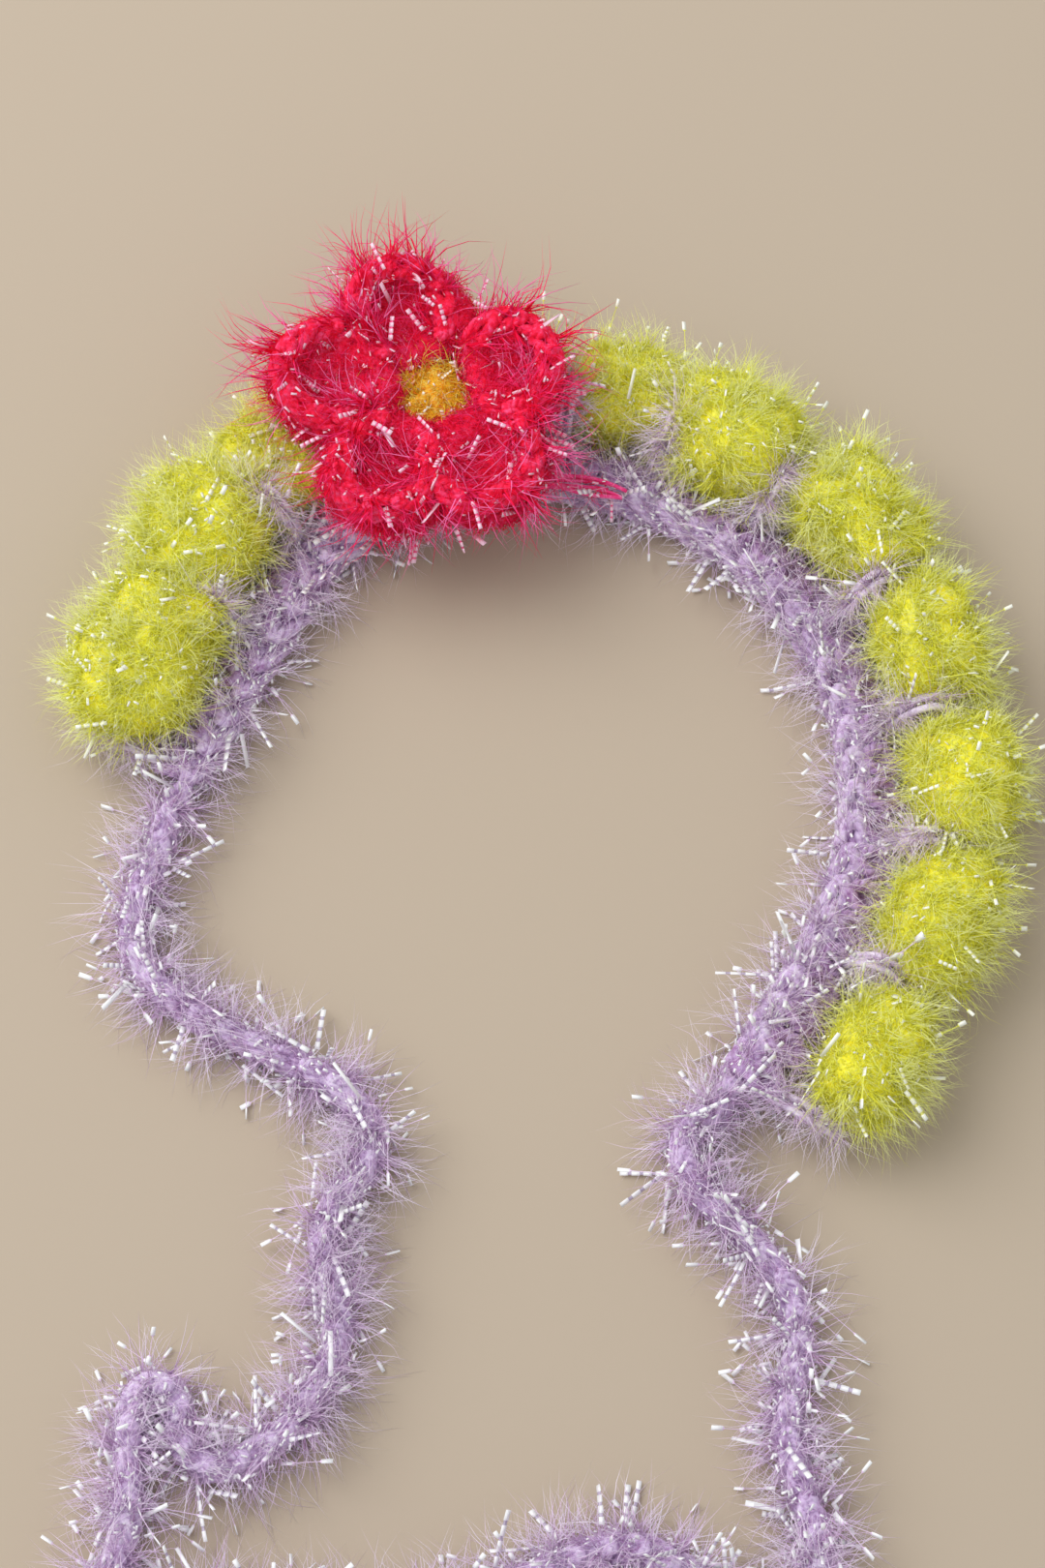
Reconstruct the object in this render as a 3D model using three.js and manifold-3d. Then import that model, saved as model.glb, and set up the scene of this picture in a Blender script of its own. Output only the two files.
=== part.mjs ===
// A crocheted tie-on headband for a doll, lying flat as it was laid down for its picture.
// A lilac chain and stitch row make the arch, a row of yellow bobbles stands on its outer edge with
// a lilac stitch between each two, a pink flower is sewn over the row, and the chain runs on past
// both ends as ties. Millimetres, +Z up, with the headband resting on the plane z = 0.
import * as THREE from 'three';
import { mergeVertices } from 'three/addons/utils/BufferGeometryUtils.js';
import Module from 'manifold-3d';

const wasm = await Module();
wasm.setup();

const DEGREE = Math.PI / 180;

// Every two neighbouring pieces keep this gap.
const CLEARANCE = 0.3;

// The arch, from its left end to its right end: a straight leg, a tighter corner, the main arc
// over the crown and a second straight leg. The sizes are those of the chain along the inner edge.
const LEFT_HEADING = 62 * DEGREE;
const LEFT_LEG_LENGTH = 26.5;
const CORNER_RADIUS = 28;
const CORNER_TURN = 60 * DEGREE;
const ARCH_RADIUS = 38.5;
const ARCH_SWEEP = 123 * DEGREE;
const RIGHT_LEG_LENGTH = 18;

// The band: a raised chain on the inner edge and one row of stitches beside it, flat underneath.
const CHAIN_WIDTH = 4.8;
const CHAIN_HEIGHT = 5.2;
const ROW_REACH = 5.4;
const ROW_HEIGHT = 4.4;
const STITCH_LENGTH = 4.2;
const STITCH_DIMPLE = 0.45;

// The bobbles stand side by side along the row. The flower's sewing draws some of them together,
// and the rest share the length that is left.
const BOBBLE_COUNT = 12;
const BOBBLE_REACH = 13;
const BOBBLE_HEIGHT = 12.5;
const BOBBLE_FOOT = 6;
const PRESSED_HEIGHT = 9;
const FLAT_DEPTH = 0.5;
const SEWN_PITCH = 14.2;
const FIRST_SEWN_GAP = 1;
const SEWN_GAPS = 5;

// The lilac stitch that parts two bobbles, drawn tight, or looser where there is room for it.
const TIGHT_STITCH_THICKNESS = 1.4;
const LOOSE_STITCH_THICKNESS = 2.8;
const PARTING_STITCH_REACH = 7;
const PARTING_STITCH_HEIGHT = 6.6;

// The flower: a golden centre and five cupped petals. Each petal has the direction of its tip, and
// the number of small steps by which it is longer than the plainest petal.
const FLOWER_ALONG = 49.6;
const FLOWER_OUT = 8.4;
const FLOWER_CENTRE_WIDTH = 8.8;
const FLOWER_CENTRE_HEIGHT = 4.4;
const PETAL_WIDTH = 14.5;
const PETAL_RIM_HEIGHT = 6.8;
const PETAL_ROOT_HEIGHT = 4.2;
const PETAL_LENGTH = 17.5;
const PETAL_LENGTH_STEP = 0.5;
const PETALS = [
  { direction: 113 * DEGREE, steps: -1 },
  { direction: 174 * DEGREE, steps: 3 },
  { direction: 244 * DEGREE, steps: 4 },
  { direction: 299 * DEGREE, steps: 2 },
  { direction: 375 * DEGREE, steps: -5 },
];

// The pink yarn that sews the flower down: two stitches into the chain, and a tail along it.
const SEWING_YARN = 1.5;
const SEWING_SPREAD = 10;
const TAIL_LENGTH = 15;

// The ties. Each follows points chosen along its lie, in the arch's own frame, and ends in a knot.
const TIE_WIDTH = 4.4;
const TIE_STEPS = 40;
const KNOT_WIDTH = 7;
const LEFT_TIE_POINTS = [
  [-40.6, -8], [-42.8, -13.6], [-43, -18.6], [-40.6, -23.4], [-36, -27.2], [-30, -30.4],
  [-23.8, -33.4], [-18.8, -36.6], [-15.8, -41], [-16.8, -45.4], [-19.6, -48.8], [-21, -53],
  [-20, -58], [-19.2, -62.6], [-20.2, -67.4], [-23.2, -72.2], [-27.2, -75.8], [-31.4, -77.6],
  [-34.6, -76.2], [-35.8, -73.6], [-36, -71.3], [-36.8, -69.5], [-38.5, -68.8], [-40.2, -69.5],
  [-41, -71.3], [-41.2, -74.8], [-41, -79], [-41.2, -83.6], [-42.2, -88], [-43.6, -92.4],
];
const RIGHT_TIE_POINTS = [
  [19.4, -39.4], [18.2, -43.4], [20, -47.6], [23.4, -50.8], [26.6, -54.4], [29.2, -58.6],
  [30.2, -63.6], [29.4, -69], [28.8, -74], [29.8, -79], [31.2, -83.6], [31.6, -88.4],
  [29.2, -93], [24.6, -94], [20.6, -91.6], [16.8, -88], [12, -86], [7, -86.8],
  [2.2, -88.8], [-2.4, -91], [-7.4, -92.6], [-12.8, -93.4], [-18.4, -94], [-24, -94], [-29.6, -93.4],
];

// Facets.
const ROUND_SIDES = 14;
const TIE_SIDES = 8;
const TAIL_STEPS = 8;
const RINGS_PER_STITCH = 2;

const yarn = (colour) => new THREE.MeshStandardMaterial({ color: colour, roughness: 0.85, metalness: 0 });
const LILAC = yarn(0xb092c4);
const YELLOW = yarn(0xe2d62c);
const PINK = yarn(0xde185c);
const GOLD = yarn(0xe8a026);

const headband = new THREE.Group();
const cordless = [];

function addPiece(name, geometry, material, place = new THREE.Vector3(), turn = 0) {
  const mesh = new THREE.Mesh(geometry, material);
  mesh.name = name;
  mesh.position.copy(place);
  mesh.rotation.z = turn;
  headband.add(mesh);
  return mesh;
}

function addSettledPiece(...details) {
  cordless.push(addPiece(...details));
}

const numbered = (name, index) => `${name}_${String(index + 1).padStart(2, '0')}`;

// A closed solid and back again, for cutting.
function toSolid(geometry) {
  const bare = geometry.clone();
  bare.deleteAttribute('normal');
  bare.deleteAttribute('uv');
  const merged = mergeVertices(bare, 1e-4);
  const corners = merged.index.array;
  const triangles = [];
  for (let i = 0; i < corners.length; i += 3) {
    const [a, b, c] = corners.slice(i, i + 3);
    if (a !== b && b !== c && c !== a) triangles.push(a, b, c);
  }
  const vertProperties = new Float32Array(merged.attributes.position.array);
  const triVerts = new Uint32Array(triangles);
  return new wasm.Manifold(new wasm.Mesh({ numProp: 3, vertProperties, triVerts }));
}

function toGeometry(solid) {
  const mesh = solid.getMesh();
  const geometry = new THREE.BufferGeometry();
  geometry.setAttribute('position', new THREE.BufferAttribute(mesh.vertProperties, 3));
  geometry.setIndex(new THREE.BufferAttribute(mesh.triVerts, 1));
  return geometry;
}

// A skin over rings of points that run the same way round, closed by a middle point at each end.
function loft(rings, firstMiddle, lastMiddle) {
  const sides = rings[0].length;
  const points = [...rings.flat(), firstMiddle, lastMiddle];
  const first = points.length - 2;
  const last = points.length - 1;
  const faces = [];
  for (let side = 0; side < sides; side += 1) {
    const next = (side + 1) % sides;
    faces.push(first, next, side);
    for (let ring = 0; ring + 1 < rings.length; ring += 1) {
      const low = ring * sides;
      const high = low + sides;
      faces.push(low + side, low + next, high + next);
      faces.push(low + side, high + next, high + side);
    }
    const top = (rings.length - 1) * sides;
    faces.push(last, top + side, top + next);
  }
  const geometry = new THREE.BufferGeometry().setFromPoints(points);
  geometry.setIndex(faces);
  return geometry;
}

function middleOf(ring) {
  const sum = new THREE.Vector3();
  for (const point of ring) sum.add(point);
  return sum.divideScalar(ring.length);
}

// The arch as a run of straight and clockwise pieces, with its outward side on the left of the way
// along it. The middle of the main arc is the origin.
const archPieces = [
  { length: LEFT_LEG_LENGTH, curve: 0 },
  { length: CORNER_RADIUS * CORNER_TURN, curve: 1 / CORNER_RADIUS },
  { length: ARCH_RADIUS * ARCH_SWEEP, curve: 1 / ARCH_RADIUS },
  { length: RIGHT_LEG_LENGTH, curve: 0 },
];
const CHAIN_LENGTH = archPieces.reduce((sum, piece) => sum + piece.length, 0);

const forwardOf = (heading) => new THREE.Vector3(Math.cos(heading), Math.sin(heading), 0);
const outwardOf = (heading) => forwardOf(heading + Math.PI / 2);

function alongPiece(piece, distance) {
  const heading = piece.heading - piece.curve * distance;
  if (piece.curve === 0) {
    return { heading, place: piece.start.clone().addScaledVector(forwardOf(heading), distance) };
  }
  const radius = 1 / piece.curve;
  const middle = piece.start.clone().addScaledVector(outwardOf(piece.heading), -radius);
  return { heading, place: middle.addScaledVector(outwardOf(heading), radius) };
}

let nextStart = new THREE.Vector3();
let nextHeading = LEFT_HEADING;
for (const piece of archPieces) {
  piece.start = nextStart;
  piece.heading = nextHeading;
  const end = alongPiece(piece, piece.length);
  nextStart = end.place;
  nextHeading = end.heading;
}
const mainArc = archPieces[2];
const arcMiddle = mainArc.start.clone().addScaledVector(outwardOf(mainArc.heading), -ARCH_RADIUS);
for (const piece of archPieces) piece.start = piece.start.clone().sub(arcMiddle);

// A place at a distance along the line that runs a given way outside the chain.
function archAt(distance, outside = 0) {
  const stretch = (piece) => 1 + piece.curve * outside;
  let rest = distance;
  let index = 0;
  while (index + 1 < archPieces.length && rest > archPieces[index].length * stretch(archPieces[index])) {
    rest -= archPieces[index].length * stretch(archPieces[index]);
    index += 1;
  }
  const { heading, place } = alongPiece(archPieces[index], rest / stretch(archPieces[index]));
  const outward = outwardOf(heading);
  return { heading, outward, place: place.addScaledVector(outward, outside) };
}

const offsetLength = (outside) => archPieces.reduce((sum, p) => sum + p.length * (1 + p.curve * outside), 0);

// The band, with a dimple between each two stitches.
function bandSection(dimple) {
  const inner = CHAIN_WIDTH / 2;
  const top = CHAIN_HEIGHT - dimple;
  const edge = ROW_REACH - dimple;
  return [
    [-inner * 0.6, 0],
    [edge * 0.8, 0],
    [edge * 0.97, ROW_HEIGHT * 0.25],
    [edge, ROW_HEIGHT * 0.62],
    [edge * 0.84, ROW_HEIGHT - dimple],
    [(inner + edge) / 2, ROW_HEIGHT - 2 * dimple],
    [inner * 0.8, top * 0.9],
    [0, top],
    [-inner * 0.75, top * 0.85],
    [-inner, top * 0.48],
    [-inner * 0.9, top * 0.16],
  ];
}

function makeBand() {
  const stitches = Math.round(CHAIN_LENGTH / STITCH_LENGTH);
  const rings = [];
  for (let step = 0; step <= stitches * RINGS_PER_STITCH; step += 1) {
    const along = step / RINGS_PER_STITCH;
    const dimple = STITCH_DIMPLE * (1 - Math.abs(Math.sin(along * Math.PI)));
    const { place, outward } = archAt((along / stitches) * CHAIN_LENGTH);
    rings.push(bandSection(dimple).map(([out, up]) => place.clone().addScaledVector(outward, out).setZ(up)));
  }
  return loft(rings, middleOf(rings[0]), middleOf(rings.at(-1)));
}

addSettledPiece('band', makeBand(), LILAC);

// The flower's middle and the plane that it is sewn down on.
const FLOWER_SEAT = archAt(FLOWER_ALONG);
const FLOWER_MIDDLE = FLOWER_SEAT.place.addScaledVector(FLOWER_SEAT.outward, FLOWER_OUT);
const FLOWER_BASE = PRESSED_HEIGHT - FLAT_DEPTH + CLEARANCE;
const petalTip = (petal) => PETAL_LENGTH + petal.steps * PETAL_LENGTH_STEP;
const FLOWER_REACH = Math.max(...PETALS.map(petalTip));

// The bobble row, along the line through the bobbles' middles.
const BOBBLE_BASE = ROW_REACH + CLEARANCE;
const ROW_LINE = BOBBLE_BASE + BOBBLE_REACH / 2;
const ROW_LENGTH = offsetLength(ROW_LINE);
const PARTING_ROOM = TIGHT_STITCH_THICKNESS + 2 * CLEARANCE;
const END_ROOM = TIGHT_STITCH_THICKNESS + CLEARANCE;
const freeCount = BOBBLE_COUNT - SEWN_GAPS;
const FREE_PITCH = (ROW_LENGTH - 2 * END_ROOM + PARTING_ROOM - SEWN_GAPS * SEWN_PITCH) / freeCount;
const isSewn = (gap) => gap >= FIRST_SEWN_GAP && gap < FIRST_SEWN_GAP + SEWN_GAPS;

const bobblePlaces = [END_ROOM + (FREE_PITCH - PARTING_ROOM) / 2];
for (let gap = 0; gap + 1 < BOBBLE_COUNT; gap += 1) {
  bobblePlaces.push(bobblePlaces[gap] + (isSewn(gap) ? SEWN_PITCH : FREE_PITCH));
}

// A bobble swells until the nearer of its neighbours stops it, with the parting stitch between.
const bobbleWidths = bobblePlaces.map((place, index) => {
  const neighbours = bobblePlaces.filter((other, number) => Math.abs(number - index) === 1);
  const pitch = Math.min(...neighbours.map((other) => Math.abs(other - place)));
  return pitch - PARTING_ROOM;
});

// A puff of yarn on a narrow foot, turned about its outward axis and cut flat where it rests.
function makeBobble(bobbleWidth, height) {
  const radius = bobbleWidth / 2;
  const footAngle = Math.asin(Math.min(BOBBLE_FOOT / bobbleWidth, 1));
  const profile = [new THREE.Vector2(0, 0)];
  const rounds = 8;
  for (let step = 0; step <= rounds; step += 1) {
    const angle = footAngle + ((Math.PI - footAngle) * step) / rounds;
    const reach = (Math.cos(footAngle) - Math.cos(angle)) / (Math.cos(footAngle) + 1);
    const width = step === rounds ? 0 : radius * Math.sin(angle);
    profile.push(new THREE.Vector2(width, BOBBLE_REACH * reach));
  }
  const puff = new THREE.LatheGeometry(profile, ROUND_SIDES);
  puff.scale(1, 1, height / bobbleWidth);
  const below = new THREE.BoxGeometry(2 * bobbleWidth, 3 * BOBBLE_REACH, height);
  below.translate(0, 0, FLAT_DEPTH - height);
  return toGeometry(toSolid(puff).subtract(toSolid(below)));
}

function isUnderFlower(middle, bobbleWidth) {
  const reach = FLOWER_REACH + bobbleWidth / 2 + CLEARANCE;
  return middle.distanceTo(FLOWER_MIDDLE) < reach;
}

bobblePlaces.forEach((distance, index) => {
  const { heading, outward, place } = archAt(distance, ROW_LINE);
  const height = isUnderFlower(place, bobbleWidths[index]) ? PRESSED_HEIGHT : BOBBLE_HEIGHT;
  const foot = place.clone().addScaledVector(outward, -BOBBLE_REACH / 2).setZ(height / 2 - FLAT_DEPTH);
  addSettledPiece(numbered('bobble', index), makeBobble(bobbleWidths[index], height), YELLOW, foot, heading);
});

// A lilac stitch between each two bobbles, and one beyond the row at each end.
function makePartingStitch(thickness) {
  const profile = [new THREE.Vector2(0, 0)];
  const rounds = 5;
  for (let step = 1; step < rounds; step += 1) {
    const share = step / rounds;
    const width = Math.sin(Math.PI * share ** 0.8);
    profile.push(new THREE.Vector2((thickness / 2) * width, PARTING_STITCH_REACH * share));
  }
  profile.push(new THREE.Vector2(0, PARTING_STITCH_REACH));
  const stitch = new THREE.LatheGeometry(profile, ROUND_SIDES / 2 + 1);
  stitch.scale(1, 1, PARTING_STITCH_HEIGHT / thickness);
  return stitch;
}

const sideOf = (index, side) => bobblePlaces.at(index) + side * (bobbleWidths.at(index) / 2 + CLEARANCE);
const partings = [];
const endReach = TIGHT_STITCH_THICKNESS / 2;
partings.push({ distance: endReach, thickness: TIGHT_STITCH_THICKNESS });
for (let gap = 0; gap + 1 < BOBBLE_COUNT; gap += 1) {
  const start = sideOf(gap, 1);
  const stop = sideOf(gap + 1, -1);
  partings.push({ distance: (start + stop) / 2, thickness: Math.min(stop - start, LOOSE_STITCH_THICKNESS) });
}
partings.push({ distance: ROW_LENGTH - endReach, thickness: TIGHT_STITCH_THICKNESS });

partings.forEach(({ distance, thickness }, index) => {
  const { heading, outward, place } = archAt(distance, ROW_LINE);
  const root = place.addScaledVector(outward, BOBBLE_BASE - ROW_LINE);
  root.setZ(PARTING_STITCH_HEIGHT / 2 + CLEARANCE);
  addSettledPiece(numbered('parting_stitch', index), makePartingStitch(thickness), LILAC, root, heading);
});

// The golden centre: a low dome that fills the ring of petals.
function makeFlowerCentre() {
  const radius = FLOWER_CENTRE_WIDTH / 2;
  const profile = [
    [0, 0],
    [radius * 0.8, 0],
    [radius, 0.3],
    [radius * 0.95, 0.6],
    [radius * 0.65, 0.9],
    [0, 1],
  ];
  const points = profile.map(([out, up]) => new THREE.Vector2(out, up * FLOWER_CENTRE_HEIGHT));
  return new THREE.LatheGeometry(points, ROUND_SIDES).rotateX(Math.PI / 2);
}

addSettledPiece('flower_centre', makeFlowerCentre(), GOLD, FLOWER_MIDDLE.clone().setZ(FLOWER_BASE));

// A petal points along its own X axis. Its sides keep clear of the lines half-way to its two
// neighbours, its tip is round, and its top is hollowed inside a rolled rim.
function petalHalfWidth(x, tip, halfWedge) {
  const room = x * Math.tan(halfWedge) - CLEARANCE / 2 / Math.cos(halfWedge);
  const tipStart = tip - PETAL_WIDTH / 2;
  const intoTip = Math.max(0, x - tipStart) / (PETAL_WIDTH / 2);
  const lobe = (PETAL_WIDTH / 2) * Math.sqrt(Math.max(0, 1 - intoTip * intoTip));
  return Math.min(room, lobe);
}

function makePetal(tip, wedgeBefore, wedgeAfter) {
  const root = FLOWER_CENTRE_WIDTH / 2 + CLEARANCE;
  const stations = 8;
  const outline = [];
  const xAt = (step) => root + (tip - root) * Math.sin((Math.PI / 2) * (step / stations));
  for (let step = 0; step < stations; step += 1) {
    outline.push(new THREE.Vector2(xAt(step), -petalHalfWidth(xAt(step), tip, wedgeBefore)));
  }
  outline.push(new THREE.Vector2(tip, 0));
  for (let step = stations - 1; step >= 0; step -= 1) {
    outline.push(new THREE.Vector2(xAt(step), petalHalfWidth(xAt(step), tip, wedgeAfter)));
  }
  const middle = new THREE.Vector2(root + (tip - root) * 0.55, 0);
  const rise = (PETAL_RIM_HEIGHT - PETAL_ROOT_HEIGHT) / (tip - root);
  const heightAt = (x) => PETAL_ROOT_HEIGHT + rise * (x - root);
  const lift = (point, up) => new THREE.Vector3(point.x, point.y, heightAt(point.x) * up);
  const layers = [[0.74, 0], [0.97, 0.26], [1, 0.52], [0.9, 0.9], [0.68, 1], [0.4, 0.7]];
  const rings = layers.map(([share, up]) => outline.map((p) => lift(middle.clone().lerp(p, share), up)));
  return loft(rings, lift(middle, 0), lift(middle, 0.6));
}

PETALS.forEach((entry, index) => {
  const { direction } = entry;
  const before = PETALS.at(index - 1).direction;
  const after = PETALS[(index + 1) % PETALS.length].direction;
  const wholeTurn = 2 * Math.PI;
  const wedgeBefore = ((direction - before + wholeTurn) % wholeTurn) / 2;
  const wedgeAfter = ((after - direction + wholeTurn) % wholeTurn) / 2;
  const petal = makePetal(petalTip(entry), wedgeBefore, wedgeAfter);
  addSettledPiece(numbered('petal', index), petal, PINK, FLOWER_MIDDLE.clone().setZ(FLOWER_BASE), direction);
});

// The sewing: two upright stitches from the chain to the flower's back, and the yarn's tail, which
// lies on the chain and comes out beside the flower.
const sewingFoot = CHAIN_HEIGHT + CLEARANCE;
const sewingLength = FLOWER_BASE - CLEARANCE - sewingFoot;
[-1, 1].forEach((side, index) => {
  const stitch = new THREE.CylinderGeometry(SEWING_YARN / 2, SEWING_YARN / 2, sewingLength, TIE_SIDES);
  const { place } = archAt(FLOWER_ALONG + (side * SEWING_SPREAD) / 2);
  stitch.rotateX(Math.PI / 2);
  addSettledPiece(numbered('sewing_stitch', index), stitch, PINK, place.setZ(sewingFoot + sewingLength / 2));
});

// A cord of round section along a curve, with a flat side below.
function makeCord(curve, width, steps) {
  const section = new THREE.Shape();
  for (let side = 0; side < TIE_SIDES; side += 1) {
    const angle = ((side + 0.5) / TIE_SIDES) * 2 * Math.PI;
    const reach = width / 2 / Math.cos(Math.PI / TIE_SIDES);
    const corner = new THREE.Vector2(Math.cos(angle), Math.sin(angle)).multiplyScalar(reach);
    if (side === 0) section.moveTo(corner.x, corner.y);
    else section.lineTo(corner.x, corner.y);
  }
  return new THREE.ExtrudeGeometry(section, { steps, extrudePath: curve, bevelEnabled: false });
}

const tailStart = FLOWER_ALONG + SEWING_SPREAD / 2 + SEWING_YARN / 2 + CLEARANCE;
const tailUp = CHAIN_HEIGHT + CLEARANCE + SEWING_YARN / 2;
const tailShares = [0, 0.25, 0.5, 0.75, 1];
const tailPoints = tailShares.map((share) => archAt(tailStart + TAIL_LENGTH * share).place.setZ(tailUp));
const tailCurve = new THREE.CatmullRomCurve3(tailPoints);
addSettledPiece('sewing_tail', makeCord(tailCurve, SEWING_YARN, TAIL_STEPS), PINK);

// The ties run straight out of the band's ends and then lie as chosen, each up to its knot.
function addTie(side, end, forward, points) {
  const up = TIE_WIDTH / 2;
  const leadDistances = [CLEARANCE, TIE_WIDTH];
  const lead = leadDistances.map((distance) => end.clone().addScaledVector(forward, distance).setZ(up));
  const lie = points.map(([x, y]) => new THREE.Vector3(x, y, up));
  const curve = new THREE.CatmullRomCurve3([...lead, ...lie], false, 'centripetal');
  addPiece(`${side}_tie`, makeCord(curve, TIE_WIDTH, TIE_STEPS), LILAC);
  const tip = curve.getPoint(1);
  const ahead = curve.getTangent(1);
  const knot = new THREE.SphereGeometry(KNOT_WIDTH / 2, ROUND_SIDES - 2, TIE_SIDES);
  knot.rotateX(Math.PI / 2);
  const place = tip.clone().addScaledVector(ahead, KNOT_WIDTH / 2 + CLEARANCE).setZ(KNOT_WIDTH / 2);
  addPiece(`${side}_tie_knot`, knot, LILAC, place);
}

const leftEnd = archAt(0);
const rightEnd = archAt(CHAIN_LENGTH);
addTie('left', leftEnd.place, forwardOf(leftEnd.heading).negate(), LEFT_TIE_POINTS);
addTie('right', rightEnd.place, forwardOf(rightEnd.heading), RIGHT_TIE_POINTS);

// The origin is under the middle of the headband without its ties, on the surface that it lies on.
const settledBox = new THREE.Box3();
headband.updateMatrixWorld(true);
for (const piece of cordless) settledBox.expandByObject(piece, true);
const settledMiddle = settledBox.getCenter(new THREE.Vector3());
headband.position.set(-settledMiddle.x, -settledMiddle.y, -settledBox.min.z);

export default headband;
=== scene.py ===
# A crocheted tie-on headband for a doll, in fuzzy tinsel yarn, laid flat on a pale table.
# The sections follow the way it is made: the ties, the chain band, the bobbles and the stitches
# that part them, then the flower and the yarn that sews it down. Sizes are in millimetres.
import math

import bmesh
import bpy
import numpy as np
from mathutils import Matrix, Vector


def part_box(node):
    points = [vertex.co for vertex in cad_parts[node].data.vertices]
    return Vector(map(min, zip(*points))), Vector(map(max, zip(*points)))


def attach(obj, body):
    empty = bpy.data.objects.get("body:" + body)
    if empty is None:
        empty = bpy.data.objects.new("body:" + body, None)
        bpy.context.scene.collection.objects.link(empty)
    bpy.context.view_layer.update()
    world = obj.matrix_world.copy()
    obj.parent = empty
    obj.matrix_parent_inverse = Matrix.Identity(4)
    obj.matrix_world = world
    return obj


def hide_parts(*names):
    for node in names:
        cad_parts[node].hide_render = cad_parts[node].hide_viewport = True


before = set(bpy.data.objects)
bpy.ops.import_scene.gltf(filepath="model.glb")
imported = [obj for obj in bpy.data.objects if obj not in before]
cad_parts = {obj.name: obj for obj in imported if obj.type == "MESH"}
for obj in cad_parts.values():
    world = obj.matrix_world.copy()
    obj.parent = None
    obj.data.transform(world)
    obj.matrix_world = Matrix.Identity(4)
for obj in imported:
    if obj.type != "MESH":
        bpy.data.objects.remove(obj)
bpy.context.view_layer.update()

# The camera.
# It looks down on the laid-out headband from in front of the ties, at 68 degrees, through a short
# telephoto lens, as the picture was taken.
MM = 0.001
VIEW_MIDDLE = np.array([-2.750, -9.139, 0.0])
VIEW_DISTANCE = 400.0
VIEW_ELEVATION = math.radians(68)
VIEW_LENS = 80
VIEW_FILM_WIDTH = 36

view_back = np.array([0.0, -math.cos(VIEW_ELEVATION), math.sin(VIEW_ELEVATION)])
camera = bpy.data.objects.new("camera", bpy.data.cameras.new("camera"))
camera.data.lens = VIEW_LENS
camera.data.sensor_width = VIEW_FILM_WIDTH
camera.location = (VIEW_MIDDLE + view_back * VIEW_DISTANCE) * MM
camera.rotation_euler = (math.pi / 2 - VIEW_ELEVATION, 0, 0)
bpy.context.scene.collection.objects.link(camera)
bpy.context.scene.camera = camera

# The arch line.
# The chain along the band's inner edge runs up a straight leg, round a tighter corner, over the
# crown in one long arc and down a second leg. Everything sewn to the band is placed along it.
ARCH_MIDDLE = np.array([-3.350, -10.339])
FIRST_LEG = 26.5
FIRST_HEADING = 62
CORNER_RADIUS = 28.0
CORNER_TURN = 60
CROWN_RADIUS = 38.5
CROWN_TURN = 123
LAST_LEG = 18.0
ARCH_POINTS = 6001

corner_run = CORNER_RADIUS * math.radians(CORNER_TURN)
crown_run = CROWN_RADIUS * math.radians(CROWN_TURN)
arch_runs = np.array([FIRST_LEG, corner_run, crown_run, LAST_LEG])
arch_turns = np.array([0, 0, CORNER_TURN, CORNER_TURN + CROWN_TURN, CORNER_TURN + CROWN_TURN])
arch_headings = np.radians(FIRST_HEADING - arch_turns)
arch_length = arch_runs.sum()
arch_knots = np.concatenate([[0], np.cumsum(arch_runs)])
arch_along = np.linspace(0, arch_length, ARCH_POINTS)
arch_heading = np.interp(arch_along, arch_knots, arch_headings)
arch_step = np.stack([np.cos(arch_heading), np.sin(arch_heading)], 1) * (arch_along[1] - arch_along[0])
arch_line = np.concatenate([np.zeros((1, 2)), np.cumsum((arch_step[1:] + arch_step[:-1]) / 2, axis=0)])
crown_start = np.array([np.interp(arch_knots[2], arch_along, arch_line[:, i]) for i in range(2)])
crown_inward = np.array([math.sin(arch_headings[2]), -math.cos(arch_headings[2])])
arch_line += ARCH_MIDDLE - crown_start - crown_inward * CROWN_RADIUS


def arch_at(along, outside=0.0, up=0.0):
    """The place at a distance along the arch, so far outside the chain and so far up."""
    along, outside, up = np.broadcast_arrays(along, outside, up)
    heading = np.interp(along, arch_along, arch_heading)
    x = np.interp(along, arch_along, arch_line[:, 0]) - np.sin(heading) * outside
    y = np.interp(along, arch_along, arch_line[:, 1]) + np.cos(heading) * outside
    return np.stack([x, y, up], -1)


def arch_forward(along):
    """The direction in which the arch runs at a distance along it."""
    heading = np.interp(along, arch_along, arch_heading)
    return np.stack([np.cos(heading), np.sin(heading), np.zeros_like(heading)], -1)


# The two ties.
# The chain of the band runs on past both its ends: plain crochet chain in lilac eyelash yarn, with
# one loop drawn through the next. Each tie lies loose in bends and ends in an overhand knot.
TIE_WIDTH = 4.4
TIE_YARN_WIDTH = 3.7
TIE_STITCH = 3.5
TIE_LEADS = (0.3, 4.4)
TIE_CORE_RADIUS = 1.05
TIE_CORE_STEPS = 150
YARN_RADIUS = 0.72
LEFT_TIE_POINTS = [
    [-40.6, -8], [-42.8, -13.6], [-43, -18.6], [-40.6, -23.4], [-36, -27.2], [-30, -30.4],
    [-23.8, -33.4], [-18.8, -36.6], [-15.8, -41], [-16.8, -45.4], [-19.6, -48.8], [-21, -53],
    [-20, -58], [-19.2, -62.6], [-20.2, -67.4], [-23.2, -72.2], [-27.2, -75.8], [-31.4, -77.6],
    [-34.6, -76.2], [-35.8, -73.6], [-36, -71.3], [-36.8, -69.5], [-38.5, -68.8], [-40.2, -69.5],
    [-41, -71.3], [-41.2, -74.8], [-41, -79], [-41.2, -83.6], [-42.2, -88], [-43.6, -92.4],
]
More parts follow.
